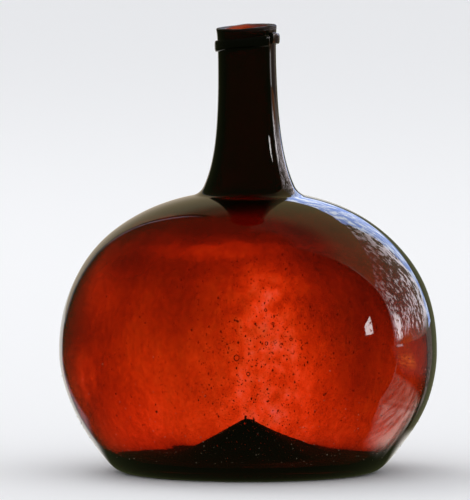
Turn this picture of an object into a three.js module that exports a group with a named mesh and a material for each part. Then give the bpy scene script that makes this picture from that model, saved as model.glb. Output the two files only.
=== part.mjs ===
// A free-blown glass bottle: a wide squat globe with a long neck, a glass string laid round the
// neck just below the lip, and a base pushed up into a cone that carries the pontil scar.
// Lengths are in millimetres. +Z is up, and the origin is the centre of the foot, on the table.
import * as THREE from "three";

// The globe: two half superellipses that meet at its widest ring
const BODY_RADIUS = 94.5;
const WIDEST_HEIGHT = 60;
const SHOULDER_RISE = 80.9;
const SHOULDER_FULLNESS = 2.2;
const BELLY_DROP = 85;
const BELLY_FULLNESS = 1.88;

// The foot ring that it stands on, and the heel that rolls down to it
const FOOT_INSET = 34.5;
const FOOT_WIDTH = 5;
const HEEL_HEIGHT = 15;
const HEEL_LEAN = 9;
const HEEL_ROLL = 7.5;

// The cone pushed up into the base, measured on its underside
const KICK_HEIGHT = 20.5;
const KICK_SPRING = 14;
const KICK_TIP = 11;

// The neck, which flares into the shoulder and again, a little, at the lip
const NECK_LENGTH = 82;
const NECK_RADIUS = 14.2;
const NECK_FLARE = 9.5;
const NECK_FLARE_REACH = 19;
const NECK_FILLET = 4;
const LIP_FLARE = 0.9;
const LIP_FLARE_REACH = 7;
const LIP_ROUND = 0.9;

// The glass is thin at the widest ring, and thick in the neck and the base
const NECK_WALL = 4.3;
const SHOULDER_WALL = 3.4;
const BODY_WALL = 2.4;
const HEEL_WALL = 4.2;
const FOOT_WALL = 5.5;
const KICK_WALL = 5.5;

// Free blowing leaves the neck a little off centre and leaning to the left, and shears leave the
// lip aslant. A heading is the side towards which a slope rises, in degrees from the right.
const NECK_OFFSET_WIDTH = 0.8;
const NECK_LEAN_WIDTH = 1.6;
const LIP_SLANT_RISE = 1.1;
const LIP_SLANT_LENGTH = 6;
const LIP_HEADING = 20;

// The string of glass laid once round the neck, from a fat blunt start to a thinner end above it
const STRING_HEIGHT = 4.8;
const STRING_THICKNESS = 1.6;
const STRING_START_EXTRA = 0.6;
const STRING_START_LENGTH = 30;
const STRING_ROUND = 0.6;
const STRING_BELOW_LIP = 8.4;
const STRING_TILT_RISE = 2.2;
const STRING_HEADING = -45;
const STRING_CLIMB_HEIGHT = 1.2;
const STRING_START_ANGLE = -42;
const STRING_END_GAP = 2.5;

// The ring of glass that broke off the pontil rod, under the slope of the cone
const SCAR_OUTER_RADIUS = 13;
const SCAR_INNER_RADIUS = 8.5;
const SCAR_THICKNESS = 1.8;
const SCAR_EDGE_SHARE = 0.6;
const SCAR_JAG = 0.6;
const SCAR_TEETH = 11;

const SEAT_GAP = 0.3;
const ROUND_SEGMENTS = 48;

const footRadius = BODY_RADIUS - FOOT_INSET;
const crownHeight = WIDEST_HEIGHT + SHOULDER_RISE;
const lipHeight = crownHeight + NECK_LENGTH;

const toRadians = THREE.MathUtils.degToRad;

function smoothstep(t) {
  const u = THREE.MathUtils.clamp(t, 0, 1);
  return u * u * (3 - 2 * u);
}

// The partner of a superellipse coordinate: both are shares of their half axes, from 0 to 1.
function otherShare(share, fullness) {
  return Math.pow(1 - Math.pow(share, fullness), 1 / fullness);
}

function shoulderHeight(radius) {
  return WIDEST_HEIGHT + SHOULDER_RISE * otherShare(radius / BODY_RADIUS, SHOULDER_FULLNESS);
}

function bellyRadius(height) {
  return BODY_RADIUS * otherShare((WIDEST_HEIGHT - height) / BELLY_DROP, BELLY_FULLNESS);
}

// The outside of the neck at a height: a straight tube with a flare that dies away from each end.
function neckRadius(height) {
  const foot = NECK_FLARE * Math.exp((crownHeight - height) / NECK_FLARE_REACH);
  const lip = LIP_FLARE * Math.exp((height - lipHeight) / LIP_FLARE_REACH);
  return NECK_RADIUS + foot + lip;
}

// The shoulder from the widest ring to a distance from the axis, even along its bend.
class ShoulderCurve extends THREE.Curve {
  constructor(endRadius) {
    super();
    this.endAngle = Math.acos(Math.pow(endRadius / BODY_RADIUS, SHOULDER_FULLNESS / 2));
  }
  getPoint(t) {
    const radius = BODY_RADIUS * Math.pow(Math.cos(t * this.endAngle), 2 / SHOULDER_FULLNESS);
    return new THREE.Vector2(radius, shoulderHeight(radius));
  }
}

// A stretch of the outside between two heights, where a rule gives the radius at each height.
class HeightCurve extends THREE.Curve {
  constructor(bottom, top, radiusAt) {
    super();
    Object.assign(this, { bottom, top, radiusAt });
  }
  getPoint(t) {
    const height = THREE.MathUtils.lerp(this.bottom, this.top, t);
    return new THREE.Vector2(this.radiusAt(height), height);
  }
}

// The underside of the cone, from its tip on the axis out to the foot ring.
function kickCurve() {
  const edge = footRadius - FOOT_WIDTH;
  return new THREE.CubicBezierCurve(
    new THREE.Vector2(0, KICK_HEIGHT),
    new THREE.Vector2(KICK_TIP, KICK_HEIGHT),
    new THREE.Vector2(edge - KICK_SPRING, 0),
    new THREE.Vector2(edge, 0),
  );
}

function footCurve() {
  return new THREE.LineCurve(new THREE.Vector2(footRadius - FOOT_WIDTH, 0), new THREE.Vector2(footRadius, 0));
}

// The heel leaves the foot level and meets the belly along the belly's own slope.
function heelCurve() {
  const step = 0.01;
  const meet = bellyRadius(HEEL_HEIGHT);
  const slope = (bellyRadius(HEEL_HEIGHT + step) - meet) / step;
  return new THREE.CubicBezierCurve(
    new THREE.Vector2(footRadius, 0),
    new THREE.Vector2(footRadius + HEEL_ROLL, 0),
    new THREE.Vector2(meet - slope * HEEL_LEAN, HEEL_HEIGHT - HEEL_LEAN),
    new THREE.Vector2(meet, HEEL_HEIGHT),
  );
}

// Where the neck's flare and the shoulder would meet if no fillet lay between them.
function neckCorner() {
  let radius = NECK_RADIUS + NECK_FLARE;
  for (let i = 0; i < 12; i++) radius = neckRadius(shoulderHeight(radius));
  return new THREE.Vector2(radius, shoulderHeight(radius));
}

// The outside from the tip of the cone to the lip, as points that each carry their wall thickness.
function outsideStations() {
  const corner = neckCorner();
  const shoulderEnd = new THREE.Vector2(corner.x + NECK_FILLET, shoulderHeight(corner.x + NECK_FILLET));
  const neckStart = new THREE.Vector2(neckRadius(corner.y + NECK_FILLET), corner.y + NECK_FILLET);
  const belly = new HeightCurve(HEEL_HEIGHT, WIDEST_HEIGHT, bellyRadius);
  const fillet = new THREE.QuadraticBezierCurve(shoulderEnd, corner, neckStart);
  const neck = new HeightCurve(neckStart.y, lipHeight - LIP_ROUND, neckRadius);
  const stretches = [
    { curve: kickCurve(), steps: 9, walls: [KICK_WALL, FOOT_WALL] },
    { curve: footCurve(), steps: 1, walls: [FOOT_WALL, FOOT_WALL] },
    { curve: heelCurve(), steps: 5, walls: [FOOT_WALL, HEEL_WALL] },
    { curve: belly, steps: 5, walls: [HEEL_WALL, BODY_WALL] },
    { curve: new ShoulderCurve(shoulderEnd.x), steps: 10, walls: [BODY_WALL, SHOULDER_WALL] },
    { curve: fillet, steps: 3, walls: [SHOULDER_WALL, NECK_WALL] },
    { curve: neck, steps: 7, walls: [NECK_WALL, NECK_WALL] },
  ];
  const stations = [{ point: stretches[0].curve.getPoint(0), wall: KICK_WALL }];
  for (const { curve, steps, walls } of stretches) {
    for (let i = 1; i <= steps; i++) {
      const wall = THREE.MathUtils.lerp(walls[0], walls[1], smoothstep(i / steps));
      stations.push({ point: curve.getPoint(i / steps), wall });
    }
  }
  return stations;
}

// The inside: each outside point moved through the glass by the wall thickness there.
function insidePoints(stations) {
  const last = stations.length - 1;
  return stations.map(({ point, wall }, i) => {
    if (i === 0) return new THREE.Vector2(0, point.y + wall);
    if (i === last) return new THREE.Vector2(point.x - wall, point.y);
    const along = stations[i + 1].point.clone().sub(stations[i - 1].point).normalize();
    return new THREE.Vector2(point.x - along.y * wall, point.y + along.x * wall);
  });
}

// Leans the neck and slants the lip. Every piece goes through it, so all of them stay seated.
function leanAndSlant(geometry) {
  const position = geometry.getAttribute("position");
  const heading = toRadians(LIP_HEADING);
  for (let i = 0; i < position.count; i++) {
    const [x, y, height] = [position.getX(i), position.getY(i), position.getZ(i)];
    const offset = NECK_OFFSET_WIDTH * smoothstep((height - WIDEST_HEIGHT) / SHOULDER_RISE);
    const lean = NECK_LEAN_WIDTH * Math.max((height - crownHeight) / NECK_LENGTH, 0);
    const slant = LIP_SLANT_RISE * smoothstep((height - lipHeight + LIP_SLANT_LENGTH) / LIP_SLANT_LENGTH);
    const towards = (x * Math.cos(heading) + y * Math.sin(heading)) / neckRadius(lipHeight);
    position.setX(i, x + offset - lean);
    position.setZ(i, height + slant * towards);
  }
  geometry.computeVertexNormals();
  return geometry;
}

// Turns a (radius, height) profile about the Z axis.
function lathe(profile) {
  return new THREE.LatheGeometry(profile, ROUND_SEGMENTS).rotateX(Math.PI / 2);
}

// The blown bottle itself: one gather of glass from the lip to the cone, hollow and open at the top.
function bottleBody() {
  const stations = outsideStations();
  const outside = stations.map(({ point }) => point);
  const inside = insidePoints(stations);
  const rim = outside.at(-1);
  const halfWidth = (rim.x - inside.at(-1).x) / 2;
  const lipEdge = new THREE.EllipseCurve(rim.x - halfWidth, rim.y, halfWidth, LIP_ROUND, 0, Math.PI);
  const profile = [...outside, ...lipEdge.getPoints(6).slice(1, -1), ...inside.reverse()];
  return leanAndSlant(lathe(profile));
}

// The string: a straight strip of round-cornered section, wrapped once round the neck and tilted.
// It runs clockwise from above and climbs as it goes, so that its end comes in above its start.
function stringRim() {
  const half = STRING_HEIGHT / 2;
  const section = new THREE.Shape();
  section.moveTo(0, -half);
  section.lineTo(STRING_THICKNESS - STRING_ROUND, -half);
  section.quadraticCurveTo(STRING_THICKNESS, -half, STRING_THICKNESS, -half + STRING_ROUND);
  section.lineTo(STRING_THICKNESS, half - STRING_ROUND);
  section.quadraticCurveTo(STRING_THICKNESS, half, STRING_THICKNESS - STRING_ROUND, half);
  section.lineTo(0, half);
  const strip = new THREE.ExtrudeGeometry(section, {
    depth: 1,
    steps: ROUND_SEGMENTS,
    curveSegments: 3,
    bevelEnabled: false,
  });
  const position = strip.getAttribute("position");
  for (let i = 0; i < position.count; i++) {
    const turn = position.getZ(i) * (360 - STRING_END_GAP);
    const angle = toRadians(STRING_START_ANGLE - turn);
    const tilt = STRING_TILT_RISE * Math.cos(angle - toRadians(STRING_HEADING));
    const climb = STRING_CLIMB_HEIGHT * (turn / 360 - 0.5);
    const height = lipHeight - STRING_BELOW_LIP + tilt + climb + position.getY(i);
    const extra = STRING_START_EXTRA * smoothstep(1 - turn / STRING_START_LENGTH);
    const swell = 1 + extra / STRING_THICKNESS;
    const radius = neckRadius(height) + SEAT_GAP + position.getX(i) * swell;
    position.setXYZ(i, radius * Math.cos(angle), radius * Math.sin(angle), height);
  }
  return leanAndSlant(strip);
}

// The cone's underside height at a distance from the axis, found along its curve by halving.
function kickHeight(radius) {
  const curve = kickCurve();
  let [low, high] = [0, 1];
  for (let i = 0; i < 30; i++) {
    const middle = (low + high) / 2;
    if (curve.getPoint(middle).x < radius) low = middle;
    else high = middle;
  }
  return curve.getPoint(low).y;
}

// The pontil scar: a ring seated under the cone, with a broken lower edge.
function pontilScar() {
  const middle = (SCAR_INNER_RADIUS + SCAR_OUTER_RADIUS) / 2;
  const seatHeight = (radius) => kickHeight(radius) - 2 * SEAT_GAP;
  const below = (radius, share) => new THREE.Vector2(radius, seatHeight(radius) - SCAR_THICKNESS * share);
  const ring = lathe([
    below(SCAR_INNER_RADIUS, 0),
    below(SCAR_INNER_RADIUS, SCAR_EDGE_SHARE),
    below(middle, 1),
    below(SCAR_OUTER_RADIUS, SCAR_EDGE_SHARE),
    below(SCAR_OUTER_RADIUS, 0),
    below(middle, 0),
    below(SCAR_INNER_RADIUS, 0),
  ]);
  const position = ring.getAttribute("position");
  for (let i = 0; i < position.count; i++) {
    const [x, y, height] = [position.getX(i), position.getY(i), position.getZ(i)];
    const depth = seatHeight(Math.hypot(x, y)) - height;
    const tooth = SCAR_JAG * Math.cos(SCAR_TEETH * Math.atan2(y, x));
    position.setZ(i, height - tooth * Math.max(depth / SCAR_THICKNESS, 0));
  }
  ring.computeVertexNormals();
  return ring;
}

function glassPiece(name, geometry, colour, roughness) {
  const material = new THREE.MeshStandardMaterial({ color: colour, roughness, metalness: 0 });
  const mesh = new THREE.Mesh(geometry, material);
  mesh.name = name;
  return mesh;
}

const bottle = new THREE.Group();
bottle.add(glassPiece("bottle_body", bottleBody(), 0xa81e06, 0.05));
bottle.add(glassPiece("string_rim", stringRim(), 0x1c0a04, 0.1));
bottle.add(glassPiece("pontil_scar", pontilScar(), 0x2a0d05, 0.4));

export default bottle;
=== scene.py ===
"""The looks of a free-blown glass bottle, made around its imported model. Lengths are in metres."""
import math

import bpy
import numpy as np
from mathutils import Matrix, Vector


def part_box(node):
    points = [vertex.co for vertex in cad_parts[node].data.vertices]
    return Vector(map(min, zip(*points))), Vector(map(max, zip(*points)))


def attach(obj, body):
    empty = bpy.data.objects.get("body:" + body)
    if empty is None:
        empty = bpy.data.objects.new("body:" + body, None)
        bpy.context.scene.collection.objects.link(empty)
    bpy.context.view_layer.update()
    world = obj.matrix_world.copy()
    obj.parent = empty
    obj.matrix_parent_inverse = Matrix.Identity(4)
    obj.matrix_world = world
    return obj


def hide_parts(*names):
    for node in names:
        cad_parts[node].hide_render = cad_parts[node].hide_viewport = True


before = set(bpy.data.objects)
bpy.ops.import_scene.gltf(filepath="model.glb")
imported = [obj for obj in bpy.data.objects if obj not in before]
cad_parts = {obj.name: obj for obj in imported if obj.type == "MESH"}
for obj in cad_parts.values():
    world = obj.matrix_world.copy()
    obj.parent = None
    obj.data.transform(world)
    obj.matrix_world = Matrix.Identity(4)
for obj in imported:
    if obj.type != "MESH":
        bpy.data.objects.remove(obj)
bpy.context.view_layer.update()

MM = 0.001

# The blown bottle
# One gather of red-amber glass, blown and swung on the end of a pipe, its base pushed up into a
# cone and its lip sheared off and fire-polished. It is thin at the widest ring, and thick in the
# neck, the heel and the base, where the same glass looks almost black.

body_low, body_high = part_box("bottle_body")
GLOBE_RADIUS = (body_high.y - body_low.y) / 2
WIDEST_HEIGHT = 60 * MM
SHOULDER_RISE = 80.9 * MM
SHOULDER_FULLNESS = 2.2
BELLY_DROP = 85 * MM
BELLY_FULLNESS = 1.88
FOOT_RADIUS = GLOBE_RADIUS - 34.5 * MM
FOOT_WIDTH = 5 * MM
HEEL_HEIGHT = 15 * MM
HEEL_LEAN = 9 * MM
HEEL_ROLL = 7.5 * MM
KICK_HEIGHT = 20.5 * MM
KICK_SPRING = 14 * MM
KICK_TIP = 11 * MM
KICK_SHED = 1.0 * MM
CONE_TIP = 26.4 * MM
CONE_FLANK = (18 * MM, 17.4 * MM)
CONE_FOOT = (36 * MM, 4.6 * MM)
FLOOR_CORNER = (58 * MM, 5.3 * MM)
NECK_LENGTH = 82 * MM
NECK_RADIUS = 14.2 * MM
NECK_FLARE = 9.5 * MM
NECK_FLARE_REACH = 19 * MM
NECK_FILLET = 4 * MM
NECK_OFFSET = 0.8 * MM
NECK_LEAN = 1.6 * MM
LIP_FLARE = 0.9 * MM
LIP_FLARE_REACH = 7 * MM
LIP_ROUND = 0.9 * MM
LIP_SQUARENESS = 0.55
LIP_SLANT = 1.1 * MM
LIP_SLANT_LENGTH = 6 * MM
LIP_HEADING = math.radians(20)
CROWN_HEIGHT = WIDEST_HEIGHT + SHOULDER_RISE
LIP_HEIGHT = CROWN_HEIGHT + NECK_LENGTH
NECK_WALL = 4.3 * MM
SHOULDER_WALL = 3.4 * MM
BODY_WALL = 2.4 * MM
HEEL_WALL = 2.6 * MM
BASE_WALL = 5.5 * MM
KICK_ROWS = 36
FOOT_ROWS = 5
COLUMNS = 240


def smoothstep(t):
    """3t^2 - 2t^3, with t held between 0 and 1."""
    t = np.clip(t, 0, 1)
    return t * t * (3 - 2 * t)


def hump(t, middle, width):
    """A bell curve: e to the power of minus the square of the distance from the middle, in widths."""
    return np.exp(-(((t - middle) / width) ** 2))


def bezier(a, b, c, d, rows):
    """The cubic Bezier curve from a to d with handles b and c, at evenly spaced parameters."""
    a, b, c, d = (np.asarray(point, float)[None, :] for point in (a, b, c, d))
    t = np.linspace(0, 1, rows)[:, None]
    return (1 - t) ** 3 * a + 3 * (1 - t) ** 2 * t * b + 3 * (1 - t) * t**2 * c + t**3 * d


def other_share(share, fullness):
    """The partner of a superellipse coordinate: the root of one less the power of its share."""
    return (1 - share**fullness) ** (1 / fullness)


def shoulder_height(radius):
    """The widest ring's height plus the shoulder's rise times the other share of the radius."""
    return WIDEST_HEIGHT + SHOULDER_RISE * other_share(radius / GLOBE_RADIUS, SHOULDER_FULLNESS)


def belly_radius(height):
    """The globe's radius times the other share of the drop below the widest ring."""
    return GLOBE_RADIUS * other_share((WIDEST_HEIGHT - height) / BELLY_DROP, BELLY_FULLNESS)


def neck_radius(height):
    """A straight tube, plus a flare that dies away upwards and a lip flare that dies away downwards."""
    foot = NECK_FLARE * np.exp((CROWN_HEIGHT - height) / NECK_FLARE_REACH)
    lip = LIP_FLARE * np.exp((height - LIP_HEIGHT) / LIP_FLARE_REACH)
    return NECK_RADIUS + foot + lip


def kick_profile(rows):
    """The underside of the pushed-up cone, from its tip to the foot, as one cubic Bezier curve."""
    edge = FOOT_RADIUS - FOOT_WIDTH
    return bezier((0, KICK_HEIGHT), (KICK_TIP, KICK_HEIGHT), (edge - KICK_SPRING, 0), (edge, 0), rows)


def outside_profile():
    """The outside from the cone's tip to the lip, as (radius, height) rows, and the wall at each row."""
    edge = FOOT_RADIUS - FOOT_WIDTH
    foot = np.linspace((edge, 0), (FOOT_RADIUS, 0), FOOT_ROWS)
    meet = belly_radius(HEEL_HEIGHT)
    slope = (belly_radius(HEEL_HEIGHT + 0.01 * MM) - meet) / (0.01 * MM)
    heel = bezier((FOOT_RADIUS, 0), (FOOT_RADIUS + HEEL_ROLL, 0),
                  (meet - slope * HEEL_LEAN, HEEL_HEIGHT - HEEL_LEAN), (meet, HEEL_HEIGHT), 18)
    belly_z = np.linspace(HEEL_HEIGHT, WIDEST_HEIGHT, 26)
    belly = np.stack([belly_radius(belly_z), belly_z], axis=1)
    corner = NECK_RADIUS + NECK_FLARE
    for _ in range(12):
        corner = neck_radius(shoulder_height(corner))
    corner_z = shoulder_height(corner)
    last_turn = math.acos(((corner + NECK_FILLET) / GLOBE_RADIUS) ** (SHOULDER_FULLNESS / 2))
    shoulder_r = GLOBE_RADIUS * np.cos(np.linspace(0, last_turn, 64)) ** (2 / SHOULDER_FULLNESS)
    shoulder = np.stack([shoulder_r, shoulder_height(shoulder_r)], axis=1)
    neck_z = np.linspace(corner_z + NECK_FILLET, LIP_HEIGHT - LIP_ROUND, 40)
    neck = np.stack([neck_radius(neck_z), neck_z], axis=1)
    bend = np.array([corner, corner_z])
    fillet = bezier(shoulder[-1], (shoulder[-1] + 2 * bend) / 3, (neck[0] + 2 * bend) / 3, neck[0], 10)
    stretches = ((kick_profile(KICK_ROWS), BASE_WALL, BASE_WALL), (foot, BASE_WALL, BASE_WALL),
                 (heel, BASE_WALL, HEEL_WALL), (belly, HEEL_WALL, BODY_WALL),
                 (shoulder, BODY_WALL, SHOULDER_WALL), (fillet, SHOULDER_WALL, NECK_WALL),
                 (neck, NECK_WALL, NECK_WALL))
    points = np.concatenate([line[1:] for line, _, _ in stretches])
    walls = np.concatenate([(a + (b - a) * smoothstep(np.linspace(0, 1, len(line))))[1:]
                            for line, a, b in stretches])
    return points, walls


def into_the_wall(profile):
    """The unit normal at each row of a profile, to its left: the sum of the normals of the two steps that
    meet there, made one long."""
    step = np.diff(profile, axis=0)
    step /= np.linalg.norm(step, axis=1)[:, None]
    along = np.concatenate([step[:1], step[1:] + step[:-1], step[-1:]])
    along /= np.linalg.norm(along, axis=1)[:, None]
    return np.stack([-along[:, 1], along[:, 0]], axis=1)


def unevenness(points, length, seed, waves=14):
    """A sum of plane waves of random heading and phase, whose lengths lie round the given one."""
    dice = np.random.default_rng(seed)
    total = np.zeros(points.shape[:-1])
    for _ in range(waves):
        heading = dice.normal(size=3)
        pitch = 2 * np.pi / (length * dice.uniform(0.7, 1.4) * np.linalg.norm(heading))
        total += np.sin(points @ (heading * pitch) + dice.uniform(0, 2 * np.pi))
    return total / math.sqrt(waves / 2)


def hand_made(points):
    """Moves points as the hot glass went: the neck stands a little to the right and leans to the left, the
    lip slants, the globe sways by less than a millimetre, and the cone is steeper on its left side."""
    x, y, z = points[..., 0], points[..., 1], points[..., 2]
    offset = NECK_OFFSET * smoothstep((z - WIDEST_HEIGHT) / SHOULDER_RISE)
    lean = NECK_LEAN * np.maximum((z - CROWN_HEIGHT) / NECK_LENGTH, 0)
    sway = 0.6 * MM * hump(z, 30 * MM, 18 * MM) - 0.9 * MM * hump(z, 118 * MM, 16 * MM)
    heading = (x * math.cos(LIP_HEADING) + y * math.sin(LIP_HEADING)) / neck_radius(LIP_HEIGHT)
    slant = LIP_SLANT * smoothstep((z - LIP_HEIGHT + LIP_SLANT_LENGTH) / LIP_SLANT_LENGTH) * heading
    radius = np.hypot(x, y)
    to_right = x / np.maximum(radius, 1 * MM)
    shed = KICK_SHED * to_right * hump(radius, 31 * MM, 13 * MM) * smoothstep(3 - z / (12 * MM))
    return np.stack([x + offset - lean + sway, y, z + slant + shed], axis=-1)


def skin(name, rows, joined=False):
    """Quads between neighbouring rows of points, each row closed on itself. Either the last row joins the
    first, or a fan of triangles closes each end round the middle of its row. The UV map is the unrolled
    grid: the share of the turn across, and the share of the way along the rows upwards."""
    count, around = rows.shape[:2]
    row = np.arange(count if joined else count - 1)[:, None]
    here = np.arange(around)[None, :]
    there = (here + 1) % around
    above = (row + 1) % count
    corners = (row * around + here, row * around + there, above * around + there, above * around + here)
    quads = np.stack(np.broadcast_arrays(*corners), axis=-1).reshape(-1, 4)
    centres = rows.mean(axis=1)
    if joined:
        gaps = np.linalg.norm(np.roll(rows, -1, axis=0) - rows, axis=2).mean(axis=1)
        height = np.concatenate([[0], np.cumsum(gaps)])
    else:
        steps = np.linalg.norm(np.diff(rows, axis=0), axis=2).mean(axis=1)
        first_gap, last_gap = (np.linalg.norm(rows[end] - centres[end], axis=1).mean() for end in (0, -1))
        height = np.cumsum(np.concatenate([[0, first_gap], steps, [last_gap]]))
    height /= height[-1]
    low = height[row + (0 if joined else 1)] + 0.0 * here
    high = height[row + (1 if joined else 2)] + 0.0 * here
    left, right = here / around + 0.0 * low, (here + 1) / around + 0.0 * low
    plan = np.stack([left, low, right, low, right, high, left, high], axis=-1).reshape(-1, 8)
    vertices = rows.reshape(-1, 3)
    loops, starts, plans = [quads.ravel()], [np.arange(len(quads)) * 4], [plan.ravel()]
    if not joined:
        vertices = np.concatenate([vertices, centres[:1], centres[-1:]])
        edge = np.arange(around)
        following = (edge + 1) % around
        top = (count - 1) * around
        bottom_fan = np.stack([0 * edge + count * around, following, edge], axis=1)
        top_fan = np.stack([top + edge, top + following, 0 * edge + count * around + 1], axis=1)
        loops += [bottom_fan.ravel(), top_fan.ravel()]
        starts += [len(quads) * 4 + np.arange(2 * around) * 3]
        a, b, middle = edge / around, (edge + 1) / around, (edge + 0.5) / around
        first, last = 0 * a + height[1], 0 * a + height[-2]
        plans += [np.stack([middle, 0 * a, b, first, a, first], axis=1).ravel(),
                  np.stack([a, last, b, last, middle, 0 * a + 1], axis=1).ravel()]
    loops, starts = np.concatenate(loops), np.concatenate(starts)
    mesh = bpy.data.meshes.new(name)
    mesh.vertices.add(len(vertices))
    mesh.vertices.foreach_set("co", vertices.astype(np.float32).ravel())
    mesh.loops.add(len(loops))
    mesh.loops.foreach_set("vertex_index", loops.astype(np.int32))
    mesh.polygons.add(len(starts))
    mesh.polygons.foreach_set("loop_start", starts.astype(np.int32))
    mesh.polygons.foreach_set("use_smooth", np.ones(len(starts), bool))
    unrolled = mesh.uv_layers.new(name="OFBake")
    unrolled.uv.foreach_set("vector", np.concatenate(plans).astype(np.float32))
    mesh.update(calc_edges=True)
    mesh.validate()
    piece = bpy.data.objects.new(name, mesh)
    bpy.context.scene.collection.objects.link(piece)
    return piece


outside, walls = outside_profile()
inward = into_the_wall(outside)
inside = outside + walls[:, None] * inward
cone_line = bezier((0, CONE_TIP), CONE_FLANK, CONE_FOOT, FLOOR_CORNER, 80)
in_cone = (inside[:, 0] < FLOOR_CORNER[0] - 2 * MM) & (inside[:, 1] < WIDEST_HEIGHT)
inside[in_cone, 1] = np.interp(inside[in_cone, 0], cone_line[:, 0], cone_line[:, 1])
lip_turn = np.linspace(0, np.pi, 9)[1:-1, None]
lip_middle, lip_half = (outside[-1] + inside[-1]) / 2, (inside[-1] - outside[-1]) / 2
lip_out = np.sign(np.cos(lip_turn)) * np.abs(np.cos(lip_turn)) ** LIP_SQUARENESS
lip_rise = np.sin(lip_turn) ** LIP_SQUARENESS * (0.5 + 0.5 * lip_out) + 0.15 * np.sin(lip_turn)
lip = lip_middle - lip_out * lip_half + lip_rise * np.array([[0, LIP_ROUND]])
profile = np.concatenate([outside, lip, inside[::-1]])
lip_inward = np.cos(lip_turn) * np.array([[-1.0, 0.0]]) - np.sin(lip_turn) * np.array([[0.0, 1.0]])
profile_inward = np.concatenate([inward, lip_inward, -inward[::-1]])
is_inside = np.concatenate([np.zeros(len(outside)), np.linspace(0, 1, len(lip)), np.ones(len(inside))])

angle = np.linspace(0, 2 * np.pi, COLUMNS, endpoint=False)
around = np.stack([np.cos(angle), np.sin(angle)], axis=-1)


def revolved(radius_and_height):
    """Each (radius, height) row carried once round the axis."""
    flat = radius_and_height[:, None, :1] * around[None]
    height = np.broadcast_to(radius_and_height[:, None, 1:], flat[..., :1].shape)
    return np.concatenate([flat, height], axis=-1)


plain = revolved(profile)
push = revolved(profile_inward)

# The wall swells by about a tenth of a millimetre, in long waves drawn out upwards and short faint ones.
drawn_out = plain * np.array([1, 1, 0.45])
outer_swell = 0.10 * unevenness(drawn_out, 60 * MM, 11) + 0.010 * unevenness(plain, 15 * MM, 12)
inner_swell = 0.14 * unevenness(drawn_out, 60 * MM, 21) + 0.015 * unevenness(plain, 14 * MM, 22)
inner_share = is_inside[:, None]
swell = (outer_swell * (1 - inner_share) + inner_swell * inner_share) * MM
still_foot = smoothstep(plain[..., 2] / (9 * MM))
thin_neck = 1 - 0.45 * smoothstep((plain[..., 2] - CROWN_HEIGHT) / (12 * MM))
lip_share = smoothstep((plain[..., 2] - LIP_HEIGHT + 5 * MM) / (4 * MM))
sheared = lip_share * (0.12 * unevenness(plain, 16 * MM, 31) + 0.06 * unevenness(plain, 5 * MM, 32)) * MM
body_rows = plain + push * (swell * still_foot * thin_neck)[..., None]
body_rows[..., 2] += sheared
body_rows = hand_made(body_rows)


# Depths of colour are stored as shares of this one, at which the glass is black.
DARKEST = 5.0
# Soft patches of the wall, partly its own thick and thin places and partly painted light and shade.
# Each row holds how much deeper the patch looks, then its middle and its half width across, and its
# middle and its half height, all in mm.
WALL_AND_PAINTED_LIGHT_PATCHES = (
    (0.22, -31, 8, 85, 32), (-0.22, -26, 9, 36, 18), (-0.24, -24, 10, 60, 12), (-0.46, 33, 17, 46, 22),
    (-0.38, -50, 14, 34, 26), (-0.60, -76, 8, 93, 14), (-0.80, -85, 5, 42, 12), (0.20, -75, 6, 56, 14),
    (-0.32, -72, 7, 112, 10), (0.60, -58, 15, 108, 8))


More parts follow.
